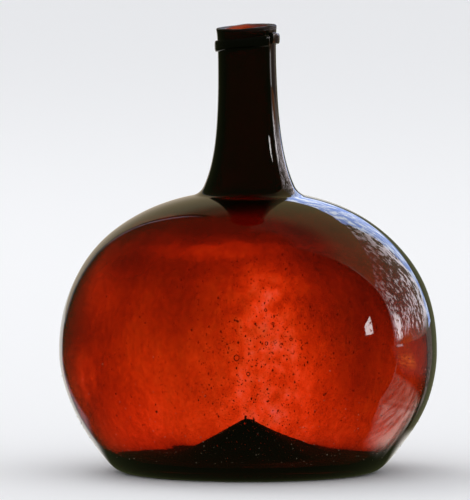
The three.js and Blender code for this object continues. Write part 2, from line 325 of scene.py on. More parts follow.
def glass_depth_and_painted_light(points, inner):
    """How deep the glass looks, from 0 where it glows to 1 where it is black. It rises up the shoulder
    into the neck and down the heel into the base, where the glass is thick. The wall deepens and clears in
    wide soft patches, partly where the hand-blown wall is thick and thin and partly as painted light and
    shade. The lit spot under the back shoulder, the shade edge above it and the glow through the back of
    the lip are painted light and shade. The outside carries nearly all of it, and the inside, where inner
    is 1, only the base and a little of the neck."""
    x, z = points[..., 0] / MM, points[..., 2] / MM
    radius = np.hypot(points[..., 0], points[..., 1]) / MM
    behind = points[..., 1] > 0
    # Deeper upwards, in a band at the right, at the left edge and over the right shoulder, partly as
    # painted shade.
    wall = 0.74 + 0.28 * smoothstep((z - 55) / 20) + 0.12 * smoothstep((z - 76) / 24)
    wall += 0.60 * hump(x, 58, 17) * smoothstep((z - 12) / 40)
    wall += 0.60 * hump(x, -92, 12) * smoothstep((z - 52) / 20)
    wall += 0.50 * smoothstep((x - 12) / 20) * smoothstep((z - 98) / 10)
    wall += 0.90 * smoothstep((x - 65) / 9) * smoothstep((z - 66) / 18)
    # Clear in the bright column near the middle and low down, then patch by patch, partly as painted light.
    wall -= 0.97 * hump(x, 9, 18) * smoothstep((110 - z) / 10) + 0.45 * smoothstep((36 - z) / 18)
    for deeper, across, half_width, up, half_height in WALL_AND_PAINTED_LIGHT_PATCHES:
        wall += deeper * hump(x, across, half_width) * hump(z, up, half_height)
    # The back wall has a clear spot under its shoulder, painted light below the shoulder's shadow, and a
    # clearer column that leans and narrows.
    wall -= 1.9 * hump(x, -14, 24) * hump(z, 110.5, 4.5) * behind
    off_column = np.abs(x - 22.6 + 0.18 * z)
    column = smoothstep((25.8 - 0.24 * z - off_column) / 2.5)
    column *= smoothstep((74 - z) / 2.5) * smoothstep((z - 38) / 3)
    wall -= 0.16 * column * behind
    # Painted shade: deeper above a level edge, which is lower on the back wall than on the front.
    shade_edge = np.where(behind, 112.6, 121.7)
    wall += (0.4 + 0.2 * behind) * smoothstep((z - shade_edge) / 2.4)
    # Almost black in the neck, the base and the cone, but for a painted glow of light at the back of the
    # lip, where the glass is made clearer.
    shoulder = 0.5 * smoothstep((z - 114) / 12)
    neck = DARKEST * smoothstep((z - 124) / 14)
    # Painted light: the glass is cleared at the back of the lip as if light came in through it.
    painted_lip_glow = smoothstep((z - LIP_HEIGHT / MM + 5) / 2) * smoothstep(points[..., 1] / MM / 5)
    neck *= 1 - painted_lip_glow * (0.72 * hump(x, -5, 9) + 0.22 * hump(x, -4.4, 1.6))
    base = DARKEST * smoothstep((3.3 - z) / 2.4)
    cone = DARKEST * smoothstep((52 - radius) / 6) * smoothstep((40 - z) / 8)
    low = np.maximum(base, cone)
    outer_depth = np.maximum(wall + shoulder, np.maximum(neck, low))
    inner_depth = np.maximum(0.08 * neck, low)
    return np.clip((outer_depth * (1 - inner) + inner_depth * inner) / DARKEST, 0, 1)


# Red, green and blue: what the thinnest glass lets through, and how fast each is lost with depth. Then
# the colour that the volume drinks towards, and its density for each metre.
CLEAREST = (1.0, 0.335, 0.155)
DRUNK_PER_DEPTH = (1.0, 1.5, 4.5)
ABSORBED_TO = (0.985, 0.409, 0.099)
ABSORPTION = 300.0
GLASS_IOR = 1.52
# Each cloud of the colour: its scale, its stretch upwards, its detail, its shift aside and its weight.
COLOUR_CLOUDS = ((22, 0.7, 2, 0.3, 0.12), (75, 0.30, 3, 1.7, 0.10),
                 (300, 0.55, 2, 4.1, 0.12), (760, 0.7, 2, 6.7, 0.09))
PATCHY_CLOUD = (150, 0.8, 4, 11.3)
PATCHY_WEIGHT = 0.40


def plug(tree, given, socket):
    """Links a node's output to a socket, or writes a number, a vector or a colour into it."""
    if isinstance(given, bpy.types.NodeSocket):
        tree.links.new(given, socket)
    elif socket.type == "RGBA":
        socket.default_value = (*given, 1)
    else:
        socket.default_value = given


def reckon(tree, operation, *given):
    """One Math node, whose inputs are outputs of other nodes or numbers."""
    node = tree.nodes.new("ShaderNodeMath")
    node.operation = operation
    for spot, value in enumerate(given):
        plug(tree, value, node.inputs[spot])
    return node.outputs[0]


def noise(tree, vector, scale, detail, kind="POINT", roughness=0.5, **how):
    """Noise over a vector that a Mapping node has moved, turned or stretched first."""
    spread = tree.nodes.new("ShaderNodeMapping")
    spread.vector_type = kind
    for name, value in how.items():
        spread.inputs[name].default_value = value
    tree.links.new(vector, spread.inputs["Vector"])
    cloud = tree.nodes.new("ShaderNodeTexNoise")
    cloud.inputs["Scale"].default_value = scale
    cloud.inputs["Detail"].default_value = detail
    cloud.inputs["Roughness"].default_value = roughness
    tree.links.new(spread.outputs["Vector"], cloud.inputs["Vector"])
    return cloud.outputs["Fac"]


def glass_material(name, depth, roughness, bump, shine=0.5):
    """Clear coloured glass. The surface lets through its clearest colour times e to the power of minus
    its depth, unsettled by streaks and clouds, and the volume drinks green and blue. Depth is a number, or
    None where the piece has its own layers of depth, cloudiness and wear. Then wear is its roughness.
    Each row of bump gives the scale, upward stretch, height and shift of one kind of ripple."""
    material = bpy.data.materials.new(name)
    material.use_nodes = True
    tree = material.node_tree
    glass, output = tree.nodes["Principled BSDF"], tree.nodes["Material Output"]
    glass.inputs["Transmission Weight"].default_value = 1.0
    glass.inputs["IOR"].default_value = GLASS_IOR
    glass.inputs["Specular IOR Level"].default_value = shine
    glass.inputs["Roughness"].default_value = roughness
    place = tree.nodes.new("ShaderNodeTexCoord").outputs["Object"]

    def cloud(scale, stretch, detail, seed):
        """Noise over the object's own coordinates, stretched upwards and moved aside by its seed."""
        return noise(tree, place, scale, detail, Scale=(1, 1, stretch), Location=(seed, 2 * seed, 3 * seed))

    def add(value, amount, weight, share=None):
        """value + (amount - 0.5) * weight, times the share where one is given."""
        shift = reckon(tree, "MULTIPLY_ADD", amount, weight, -weight / 2)
        if share is not None:
            shift = reckon(tree, "MULTIPLY", shift, share)
        return reckon(tree, "ADD", value, shift)

    def layer(name):
        """The piece's own attribute of this name."""
        kept = tree.nodes.new("ShaderNodeAttribute")
        kept.attribute_name = name
        return kept.outputs["Fac"]

    value = depth
    if depth is None:
        tree.links.new(layer("wear"), glass.inputs["Roughness"])
        # The depth layer holds the glass's depth with painted light and shade in it.
        value = add(layer("depth"), cloud(*PATCHY_CLOUD), PATCHY_WEIGHT, layer("cloudy"))
    for *shape, weight in COLOUR_CLOUDS:
        value = add(value, cloud(*shape), weight)
    channels = tree.nodes.new("ShaderNodeCombineColor")
    for spot, (clear, rate) in enumerate(zip(CLEAREST, DRUNK_PER_DEPTH)):
        left_over = reckon(tree, "EXPONENT", reckon(tree, "MULTIPLY", value, -rate * DARKEST))
        let_through = reckon(tree, "MULTIPLY", left_over, clear)
        let_through.node.use_clamp = True
        tree.links.new(let_through, channels.inputs[spot])
    tree.links.new(channels.outputs["Color"], glass.inputs["Base Color"])
    for scale, stretch, height, seed in bump:
        raise_it = tree.nodes.new("ShaderNodeBump")
        raise_it.inputs["Strength"].default_value = 1.0
        raise_it.inputs["Distance"].default_value = height
        tree.links.new(cloud(scale, stretch, 2, seed), raise_it.inputs["Height"])
        if glass.inputs["Normal"].is_linked:
            tree.links.new(glass.inputs["Normal"].links[0].from_socket, raise_it.inputs["Normal"])
        tree.links.new(raise_it.outputs["Normal"], glass.inputs["Normal"])
    absorb = tree.nodes.new("ShaderNodeVolumeAbsorption")
    absorb.inputs["Color"].default_value = (*ABSORBED_TO, 1)
    absorb.inputs["Density"].default_value = ABSORPTION
    tree.links.new(absorb.outputs["Volume"], output.inputs["Volume"])
    return material


def keep_layer(piece, name, values):
    """One number for each point of the mesh, kept as an attribute."""
    layer = piece.data.attributes.new(name, "FLOAT", "POINT")
    layer.data.foreach_set("value", values.astype(np.float32))


POLISHED = 0.02
LIP_ROUGHER = 0.50
KICK_ROUGHER = 0.16

bottle = skin("blown_bottle", body_rows)
poles = np.array([[0, 0, KICK_HEIGHT], [0, 0, CONE_TIP]])
layer_points = np.concatenate([body_rows.reshape(-1, 3), poles])
inner_points = np.concatenate([np.repeat(is_inside, COLUMNS), [0, 1]])
# The depth layer holds the glass's depth with painted light and shade in it.
keep_layer(bottle, "depth", glass_depth_and_painted_light(layer_points, inner_points))
layer_x, layer_z = layer_points[:, 0], layer_points[:, 2]
lip_wear = smoothstep((layer_z - LIP_HEIGHT + 2.2 * MM) / (1.4 * MM))
kick_wear = smoothstep((58 * MM - np.hypot(layer_x, layer_points[:, 1])) / (10 * MM))
kick_wear *= smoothstep((40 * MM - layer_z) / (6 * MM))
keep_layer(bottle, "wear", POLISHED + LIP_ROUGHER * lip_wear + KICK_ROUGHER * kick_wear)
cloudy_places = hump(layer_x, 10 * MM, 20 * MM) * smoothstep((105 * MM - layer_z) / (12 * MM))
cloudy_places += hump(layer_x, -83 * MM, 6 * MM) * hump(layer_z, 42 * MM, 18 * MM)
keep_layer(bottle, "cloudy", cloudy_places)
bottle.data.materials.append(glass_material("red_amber_glass", None, POLISHED,
                                            ((45, 0.4, 0.04 * MM, 7.3), (160, 0.8, 0.012 * MM, 9.1))))
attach(bottle, "root")
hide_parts("bottle_body")

# The seeds in the wall
# Gas bubbles and grains of unmelted batch that stayed in the gather and were drawn out as it was
# blown. They lie inside the wall, thickest low down, and show as small dark specks.

# Heights are in mm. Sizes are the middle and the spread of their logarithm, and the least and most in mm.
SEED_COUNT = 2600
SEED_LOWEST = 20
SEED_SPAN = 104
SEED_SIZES = (-1.72, 0.42, 0.08, 0.5)
CROWDED_SHARE = 0.52
CROWDED_TURN = 0.11
CROWDED_SPREAD = 0.2
BALL_ROWS = 4
BALL_COLUMNS = 6


def smooth_piece(name, points, faces):
    """One mesh of these points and faces, shaded smooth."""
    mesh = bpy.data.meshes.new(name)
    mesh.from_pydata(points, [], faces)
    mesh.polygons.foreach_set("use_smooth", np.ones(len(mesh.polygons), bool))
    mesh.update()
    piece = bpy.data.objects.new(name, mesh)
    bpy.context.scene.collection.objects.link(piece)
    return piece


def specks(name, centres, sizes, axes):
    """One small ball for every centre: its latitude rows and longitude columns, each scaled by the three
    sizes along the three axes given with it. All are one mesh."""
    latitude = np.linspace(-np.pi / 2, np.pi / 2, BALL_ROWS + 1)[1:-1]
    longitude = np.linspace(0, 2 * np.pi, BALL_COLUMNS, endpoint=False)
    ball = np.stack([np.outer(np.cos(latitude), np.cos(longitude)),
                     np.outer(np.cos(latitude), np.sin(longitude)),
                     np.outer(np.sin(latitude), np.ones(BALL_COLUMNS))], axis=-1).reshape(-1, 3)
    ball = np.concatenate([ball, [[0, 0, -1], [0, 0, 1]]])
    rings = len(latitude)
    faces = []
    for j in range(BALL_COLUMNS):
        k = (j + 1) % BALL_COLUMNS
        faces.append((len(ball) - 2, k, j))
        faces.append(((rings - 1) * BALL_COLUMNS + j, (rings - 1) * BALL_COLUMNS + k, len(ball) - 1))
        for i in range(rings - 1):
            low, high = i * BALL_COLUMNS, (i + 1) * BALL_COLUMNS
            faces += [(low + j, low + k, high + k), (low + j, high + k, high + j)]
    local = ball[None] * sizes[:, None, :]
    points = centres[:, None, :] + np.einsum("nvk,nkc->nvc", local, axes)
    whole = np.array(faces)[None] + (np.arange(len(centres)) * len(ball))[:, None, None]
    return smooth_piece(name, points.reshape(-1, 3), whole.reshape(-1, 3))


def seated(heights, turns, share):
    """Points in the wall at the given heights and turns, at a share of the way from the outside to the
    inside, with the wall's own axes there: across its profile, round the bottle and along the profile."""
    side = (outside[:, 1] > 8 * MM) & (np.arange(len(outside)) >= KICK_ROWS + FOOT_ROWS)
    spot = [np.interp(heights, outside[side, 1], line[side]) for line in
            (outside[:, 0], walls, inward[:, 0], inward[:, 1])]
    radius = spot[0] + spot[2] * spot[1] * share
    height = heights + spot[3] * spot[1] * share
    out = np.stack([np.cos(turns), np.sin(turns), 0 * turns], axis=-1)
    up = np.array([0, 0, 1.0])
    through = out * spot[2][:, None] + up * spot[3][:, None]
    round_it = np.stack([-np.sin(turns), np.cos(turns), 0 * turns], axis=-1)
    along = np.cross(through, round_it)
    places = hand_made(out * radius[:, None] + up * height[:, None])
    return places, np.stack([through, round_it, along], axis=1)


dice = np.random.default_rng(5)


def grain_sizes(middle, spread, least, most, count):
    """Lognormal sizes in mm, held between the least and the most."""
    return np.clip(dice.lognormal(middle, spread, count), least, most)


seed_heights = (SEED_LOWEST + SEED_SPAN * dice.beta(1.1, 1.8, SEED_COUNT)) * MM
seed_turns = dice.uniform(0, 2 * np.pi, SEED_COUNT)
crowded_turns = dice.normal(CROWDED_TURN, CROWDED_SPREAD, SEED_COUNT) - np.pi / 2
is_crowded = dice.random(SEED_COUNT) < CROWDED_SHARE
seed_turns = np.where(is_crowded, crowded_turns * dice.choice((-1, 1), SEED_COUNT), seed_turns)
seed_places, seed_axes = seated(seed_heights, seed_turns, dice.uniform(0.25, 0.75, SEED_COUNT))
seed_size = grain_sizes(*SEED_SIZES, SEED_COUNT) * MM
seed_sizes = seed_size[:, None] * np.stack([0.8 + 0 * seed_size, dice.uniform(0.8, 1.2, SEED_COUNT),
                                            dice.uniform(0.9, 1.9, SEED_COUNT)], axis=1)
# No seed stands in front of the dark cone.
above_cone = seed_places[:, 2] > 32 * MM - 0.5 * np.abs(seed_places[:, 0])
kept_seeds = (seed_places[:, 1] > 0) | above_cone
seeds = specks("glass_seeds", seed_places[kept_seeds], seed_sizes[kept_seeds], seed_axes[kept_seeds])


def speck_material(name, dark, pale, roughness):
    """Grains that vary from one to the next between two colours, by noise coarser than a grain."""
    material = bpy.data.materials.new(name)
    material.use_nodes = True
    tree = material.node_tree
    surface = tree.nodes["Principled BSDF"]
    surface.inputs["Roughness"].default_value = roughness
    place = tree.nodes.new("ShaderNodeTexCoord")
    patches = tree.nodes.new("ShaderNodeTexNoise")
    patches.inputs["Scale"].default_value = 400
    tree.links.new(place.outputs["Object"], patches.inputs["Vector"])
    ramp = tree.nodes.new("ShaderNodeValToRGB")
    ramp.color_ramp.elements[0].position = 0.4
    ramp.color_ramp.elements[0].color = (*dark, 1)
    ramp.color_ramp.elements[1].position = 0.62
    ramp.color_ramp.elements[1].color = (*pale, 1)
    tree.links.new(patches.outputs["Fac"], ramp.inputs["Fac"])
    tree.links.new(ramp.outputs["Color"], surface.inputs["Base Color"])
    return material


seeds.data.materials.append(speck_material("burnt_seed", dark=(0.16, 0.010, 0.003),
                                           pale=(0.80, 0.10, 0.02), roughness=0.5))
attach(seeds, "root")

# The larger bubbles, drawn as rings of painted shade
# A few bubbles of gas in the front wall are wide enough to be seen one by one. Light passes through
# the middle of a bubble and is bent away at its edge, so each shows as a thin dark ring. Only that ring
# is drawn: a solid ring of painted shade in the wall.

BUBBLE_X = np.array([-5.7, 0.1, 9.0, 9.2, 21.5, 12.6]) * MM
BUBBLE_HEIGHT = np.array([64.2, 56.2, 87.7, 71.3, 73.2, 81.0]) * MM
BUBBLE_RADIUS = np.array([1.25, 0.8, 0.55, 0.7, 0.6, 0.5]) * MM
BUBBLE_EDGE = 0.21 * MM
BUBBLE_DRAWN_OUT = 1.15
RIM_POINTS = 22
RIM_SECTION = 6


def bubble_shade_rims(name, centres, radii, axes):
    """One closed ring for every centre: a small circle of the edge's radius carried round an oval that
    lies in the wall, a little longer along the profile than round the bottle. All are one mesh."""
    rim = np.linspace(0, 2 * np.pi, RIM_POINTS, endpoint=False)[None, :, None]
    section = np.linspace(0, 2 * np.pi, RIM_SECTION, endpoint=False)[None, None, :]
    reach = radii[:, None, None] + BUBBLE_EDGE * np.cos(section)
    local = np.stack([BUBBLE_EDGE * np.sin(section) + 0 * reach * rim, reach * np.cos(rim),
                      BUBBLE_DRAWN_OUT * reach * np.sin(rim)], axis=-1)
    points = centres[:, None, None, :] + np.einsum("nrsk,nkc->nrsc", local, axes)
    spot = np.arange(RIM_POINTS * RIM_SECTION).reshape(RIM_POINTS, RIM_SECTION)
    ahead = np.roll(spot, -1, axis=0)
    corners = (spot, ahead, np.roll(ahead, -1, axis=1), np.roll(spot, -1, axis=1))
    faces = np.stack(corners, axis=-1).reshape(-1, 4)
    whole = faces[None] + (np.arange(len(centres)) * spot.size)[:, None, None]
    return smooth_piece(name, points.reshape(-1, 3), whole.reshape(-1, 4))


bubble_places, bubble_axes = seated(BUBBLE_HEIGHT, -np.arccos(BUBBLE_X / GLOBE_RADIUS), 0.5)
# Painted shade: solid dark rings where the bubbles' edges bend light away.
shade_rings = bubble_shade_rims("bubble_shade_rings", bubble_places, BUBBLE_RADIUS, bubble_axes)
shade_rings.data.materials.append(speck_material("bubble_edge_shade", dark=(0.30, 0.03, 0.008),
                                             pale=(0.80, 0.12, 0.03), roughness=0.4))
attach(shade_rings, "root")

# The loose grains
# Dust and lint settled on the outside of the bottle, most of it low down, and shows against the dark
# base. Crumbs of glass and two small shards fell down the neck when it was sheared, and lie on the
# cone inside. The pale crumbs are partly crumbs of glass and partly painted glints of glare along the
# cone's flanks. Nothing holds any of them.

DUST_COUNT = 760
DUST_LOWEST = 9
DUST_SPAN = 62
DUST_SHARE = -0.02
DUST_SIZES = (-2.1, 0.35, 0.07, 0.24)
CRUMB_COUNT = 420
CRUMB_SIZES = (-1.95, 0.4, 0.08, 0.3)
CRUMB_REACH = 46 * MM
CRUMB_LIFT = 0.08 * MM
SHARD_PLACES = np.array([[-0.5, 0.0, 26.2], [3.2, 0.0, 25.6]]) * MM
SHARD_SIZES = np.array([[0.45, 0.6, 1.3], [0.4, 0.5, 1.0]]) * MM

dust_heights = (DUST_LOWEST + DUST_SPAN * dice.beta(1.1, 2.9, DUST_COUNT)) * MM
dust_places, dust_axes = seated(dust_heights, dice.uniform(0, 2 * np.pi, DUST_COUNT), DUST_SHARE)
dust_size = grain_sizes(*DUST_SIZES, DUST_COUNT) * MM
dust_sizes = dust_size[:, None] * dice.uniform(0.6, 1.5, (DUST_COUNT, 3))
crumb_radius = CRUMB_REACH * dice.random(CRUMB_COUNT) ** 0.75
crumb_turns = dice.uniform(0, 2 * np.pi, CRUMB_COUNT)
crumb_heights = np.interp(crumb_radius, cone_line[:, 0], cone_line[:, 1]) + CRUMB_LIFT
crumb_places = hand_made(np.stack([crumb_radius * np.cos(crumb_turns), crumb_radius * np.sin(crumb_turns),
                                   crumb_heights], axis=1))
crumb_size = grain_sizes(*CRUMB_SIZES, CRUMB_COUNT)
crumb_sizes = crumb_size[:, None] * dice.uniform(0.6, 1.4, (CRUMB_COUNT, 3)) * MM
upright_axes = np.broadcast_to(np.eye(3), (CRUMB_COUNT, 3, 3))
crumbs_and_glints = specks("cone_crumbs_and_glints", crumb_places, crumb_sizes, upright_axes)
# Pale: partly crumbs of glass and partly painted glints along the cone.
crumbs_and_glints.data.materials.append(speck_material("crumb_and_glint", dark=(0.25, 0.12, 0.06),
                                            pale=(0.95, 0.80, 0.60), roughness=0.6))
shards = specks("cone_shards", SHARD_PLACES, SHARD_SIZES, upright_axes[:len(SHARD_PLACES)])
shards.data.materials.append(speck_material("dark_shard", dark=(0.02, 0.01, 0.01),
                                            pale=(0.06, 0.02, 0.01), roughness=0.5))
for loose in (crumbs_and_glints, shards):
    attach(loose, "root")
dust = specks("settled_dust", dust_places, dust_sizes, dust_axes)
dust.data.materials.append(speck_material("pale_dust", dark=(0.06, 0.03, 0.02),
                                          pale=(0.50, 0.40, 0.30), roughness=0.9))
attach(dust, "root")

# The string rim
# A second, darker gather: a thread of glass wound once round the neck below the lip while both were
# hot, so that it sank a little into the neck. Its thicker start and its end meet at the right front.

STRING_HEIGHT = 5.4 * MM
STRING_THICKNESS = 1.6 * MM
STRING_SUNK = 0.35 * MM
STRING_FULLNESS = 0.62
STRING_START_EXTRA = 0.6 * MM
STRING_START_LENGTH = math.radians(30)
STRING_BELOW_LIP = 8.4 * MM
STRING_TILT = 2.2 * MM
STRING_HEADING = math.radians(-45)
STRING_CLIMB = 1.2 * MM
STRING_START = math.radians(-42)
STRING_LENGTH = math.radians(357.5)
STRING_END_TURN = math.radians(5)


def string_rows(count, around):
    """A flat, full section carried clockwise round the neck. It climbs a little, tilts down to one side,
    swells and thins by hand, is thicker at its start, and rounds off to nothing at both ends."""
    turn = np.linspace(0, STRING_LENGTH, count)[:, None]
    section = np.linspace(0, 2 * np.pi, around, endpoint=False)[None, :]
    heading = STRING_START - turn
    direction = np.stack([np.cos(heading), np.sin(heading), 0 * heading], axis=-1)
    spot = direction[:, 0] * NECK_RADIUS
    start_share = 1 - smoothstep(turn / STRING_START_LENGTH)
    swollen = 1 + 0.10 * unevenness(spot, 17 * MM, 51)[:, None]
    swollen = swollen + STRING_START_EXTRA / STRING_THICKNESS * start_share
    taller = 1 + 0.06 * unevenness(spot, 21 * MM, 52)[:, None]
    to_end = np.minimum(turn, STRING_LENGTH - turn) / STRING_END_TURN
    closing = np.sqrt(1 - (1 - np.clip(to_end, 0.02, 1)) ** 2)
    outwards, upwards = (np.sign(wave) * np.abs(wave) ** STRING_FULLNESS
                         for wave in (np.cos(section), np.sin(section)))
    middle = (STRING_THICKNESS * swollen - STRING_SUNK) / 2
    reach = (STRING_THICKNESS * swollen + STRING_SUNK) / 2
    lift = STRING_HEIGHT / 2 * taller * (0.4 + 0.6 * closing) * upwards
    height = (LIP_HEIGHT - STRING_BELOW_LIP + STRING_TILT * np.cos(heading - STRING_HEADING)
              + STRING_CLIMB * (turn / (2 * np.pi) - 0.5) + lift)
    radius = neck_radius(height) + middle * closing + reach * closing * outwards
    return np.concatenate([direction[..., :2] * radius[..., None], height[..., None]], axis=-1)


string = skin("string_thread", hand_made(string_rows(260, 20)))
string.data.materials.append(glass_material("dark_string_glass", 0.95, 0.16,
                                            ((260, 0.6, 0.05 * MM, 3.3), (900, 0.6, 0.02 * MM, 5.1)), 0.1))
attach(string, "root")
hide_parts("string_rim")

# The pontil scar
# The ring of glass that stayed under the cone when the pontil rod was knocked off. It is fused to
# the cone, and its free edge is a sharp, uneven fracture.

SCAR_OUTER_RADIUS = 13 * MM
SCAR_INNER_RADIUS = 8.5 * MM
SCAR_THICKNESS = 1.8 * MM
SCAR_SUNK = 0.4 * MM


def scar_rows(count, around):
    """A band between the inner and the outer radius, whose upper side is sunk into the cone's underside
    and whose lower side stands out by a jagged amount that changes quickly round the ring."""
    turn = np.linspace(0, 2 * np.pi, count, endpoint=False)[:, None]
    section = np.linspace(0, 2 * np.pi, around, endpoint=False)[None, :]
    spot = np.stack([np.cos(turn), np.sin(turn), 0 * turn], axis=-1) * SCAR_OUTER_RADIUS
    wide = 1 + 0.16 * unevenness(spot, 9 * MM, 61) + 0.10 * unevenness(spot, 3 * MM, 62)
    middle = (SCAR_OUTER_RADIUS + SCAR_INNER_RADIUS) / 2
    radius = middle + (SCAR_OUTER_RADIUS - SCAR_INNER_RADIUS) / 2 * wide * np.cos(section)
    place = np.stack([radius * np.cos(turn), radius * np.sin(turn), 0 * radius], axis=-1)
    jag = 0.72 + 0.22 * unevenness(place, 4 * MM, 63) + 0.16 * unevenness(place, 1.6 * MM, 64)
    out = np.sin(section)
    stand = np.where(out > 0, -SCAR_THICKNESS * jag * np.abs(out) ** 0.6, SCAR_SUNK * np.abs(out))
    cone = kick_profile(60)
    height = np.interp(radius, cone[:, 0], cone[:, 1]) + stand
    return np.concatenate([place[..., :2], height[..., None]], axis=-1)


scar = skin("pontil_mark", hand_made(scar_rows(180, 22)), joined=True)
scar.data.materials.append(glass_material("pontil_glass", 0.6, 0.25,
                                          ((700, 1.0, 0.12 * MM, 6.3), (2200, 1.0, 0.03 * MM, 8.1))))
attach(scar, "root")
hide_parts("pontil_scar")

# The room: a plain pale floor, the light of a pale backdrop, and the camera
# None of it is part of the object. The floor is one wide disc of pale paper. What the glass mirrors of
# a room is laid out on the floor and in the world, where only mirror rays see it.


def times(tree, *given):
    """The product of all that is given."""
    total = given[0]
    for value in given[1:]:
        total = reckon(tree, "MULTIPLY", total, value)
    return total


def plus(tree, first, second):
    """The sum of two numbers."""
    return reckon(tree, "ADD", first, second)


def less(tree, first, second):
    """The first number less the second."""
    return reckon(tree, "SUBTRACT", first, second)


def line(tree, value, slope, start):
    """The value times the slope, plus the start."""
    return reckon(tree, "MULTIPLY_ADD", value, slope, start)


def edge(tree, value, start, end):
    """0 before start and 1 after end, with a smooth step between. Where start is above end, it falls: 1
    below end and 0 above start."""
    node = tree.nodes.new("ShaderNodeMapRange")
    node.interpolation_type = "SMOOTHSTEP"
    plug(tree, value, node.inputs["Value"])
    node.inputs["From Min"].default_value, node.inputs["From Max"].default_value = sorted((start, end))
    if start > end:
        node.inputs["To Min"].default_value, node.inputs["To Max"].default_value = 1.0, 0.0
    return node.outputs["Result"]


def mask(tree, *steps):
    """The product of smooth steps, each given as a value with its start and its end."""
    return times(tree, *(edge(tree, *step) for step in steps))


def blend(tree, factor, first, second):
    """A mix of two colours by a factor."""
    node = tree.nodes.new("ShaderNodeMix")
    node.data_type = "RGBA"
    plug(tree, factor, node.inputs[0])
    plug(tree, first, node.inputs[6])
    plug(tree, second, node.inputs[7])
    return node.outputs[2]


def layered(tree, ground, *layers):
    """The ground's colour with each layer, a mask and a colour, laid over it in turn."""
    for where, colour in layers:
        ground = blend(tree, where, ground, colour)
    return ground


def parts(tree, vector):
    """The three coordinates of a vector."""
    node = tree.nodes.new("ShaderNodeSeparateXYZ")
    tree.links.new(vector, node.inputs[0])
    return node.outputs[0], node.outputs[1], node.outputs[2]


def turn_of(tree, x, y):
    """The azimuth in degrees, from -Y towards +X, of a place or a direction."""
    return times(tree, reckon(tree, "ARCTAN2", x, times(tree, y, -1.0)), math.degrees(1))


def grain(tree, vector, scale, detail, stretch=(1, 1, 1), heading=0.0):
    """Rough noise over a vector, drawn out by the stretch along axes that are turned to the heading."""
    return noise(tree, vector, scale, detail, "TEXTURE", 0.65, Scale=stretch, Rotation=(0, 0, heading))


def glow(tree, colour, strength, kind):
    """A Background or an Emission of a colour and a strength."""
    node = tree.nodes.new(kind)
    plug(tree, colour, node.inputs["Color"])
    plug(tree, strength, node.inputs["Strength"])
    return node.outputs[0]


def choice(tree, factor, first, second):
    """The first light where the factor is 0, the second where it is 1."""
    node = tree.nodes.new("ShaderNodeMixShader")
    for spot, given in enumerate((factor, first, second)):
        plug(tree, given, node.inputs[spot])
    return node.outputs[0]


PALE = (0.90, 0.90, 0.91)
DARK_ROOM = (0.042, 0.048, 0.020)
OLIVE_WALL = (0.16, 0.16, 0.085)
CREAM = (0.95, 0.92, 0.86)
INNER_LOSS = 0.95
FLOOR_RADIUS = 40.0
FLOOR_SIDES = 96
FLOOR_DROP = 0.05 * MM

floor_turn = np.linspace(0, 2 * np.pi, FLOOR_SIDES, endpoint=False)
floor_points = np.stack([FLOOR_RADIUS * np.cos(floor_turn), FLOOR_RADIUS * np.sin(floor_turn),
                         0 * floor_turn - FLOOR_DROP], axis=1)
floor_mesh = bpy.data.meshes.new("pale_floor")
floor_mesh.from_pydata(floor_points, [], [list(range(FLOOR_SIDES))])
floor = bpy.data.objects.new("pale_floor", floor_mesh)
bpy.context.scene.collection.objects.link(floor)
paper = bpy.data.materials.new("pale_paper")
paper.use_nodes = True
page = paper.node_tree
paper_surface = page.nodes["Principled BSDF"]
paper_surface.inputs["Base Color"].default_value = (*PALE, 1)
paper_surface.inputs["Roughness"].default_value = 0.9
paper_surface.inputs["Specular IOR Level"].default_value = 0.1
floor_mesh.materials.append(paper)

# The mirrored floor, by place in metres and by azimuth in degrees.
floor_place = page.nodes.new("ShaderNodeTexCoord").outputs["Object"]
floor_x, floor_y, _ = parts(page, floor_place)
floor_az = turn_of(page, floor_x, floor_y)
floor_far = reckon(page, "SQRT", plus(page, times(page, floor_x, floor_x), times(page, floor_y, floor_y)))

# A lit woven stretch at the right front, with a fold across it and a thin pale line along its front.
front_bend = reckon(page, "MAXIMUM", line(page, floor_x, 0.28, -0.042), 0.0)
weave_front = less(page, plus(page, floor_y, 0.050), front_bend)
weave_far = line(page, floor_x, 0.44, floor_y)
past_weave = less(page, line(page, floor_x, 1.22, -0.104), floor_y)
from_fold = reckon(page, "ABSOLUTE", less(page, floor_x, 0.145))
weave = grain(page, floor_place, 62, 6, (4.5, 0.6, 1.0), math.radians(39))
threads = line(page, edge(page, weave, 0.40, 0.58), 0.72, 0.28)
fold = line(page, edge(page, from_fold, 0.001, 0.010), 0.5, 0.5)
in_weave = mask(page, (past_weave, 0.0, 0.02), (weave_front, 0.0, 0.008), (weave_far, 0.178, 0.125),
                (floor_x, 0.07, 0.09))
lit_weave = times(page, in_weave, threads, fold)
weave_colour = blend(page, edge(page, floor_x, 0.165, 0.135), (0.80, 0.66, 0.52), (1.62, 1.44, 1.26))
front_line = mask(page, (weave_front, -0.003, -0.001), (weave_front, 0.006, 0.002), (floor_x, 0.09, 0.12))

# Far off at the right, an orange strip, and beyond it the bright streak that the neck mirrors.
far_right = mask(page, (floor_az, 97.0, 99.0), (floor_far, 0.25, 0.40))
orange_strip = mask(page, (floor_az, 99.0, 103.0), (floor_az, 119.0, 115.0), (floor_far, 0.35, 0.6),
                    (grain(page, floor_place, 14, 5), 0.36, 0.60))
orange = blend(page, edge(page, floor_far, 0.9, 1.2), (1.90, 0.62, 0.18), (0.42, 0.26, 0.13))
neck_streak = mask(page, (floor_az, 103.0, 105.0), (floor_az, 111.0, 109.5), (floor_far, 3.6, 4.8))

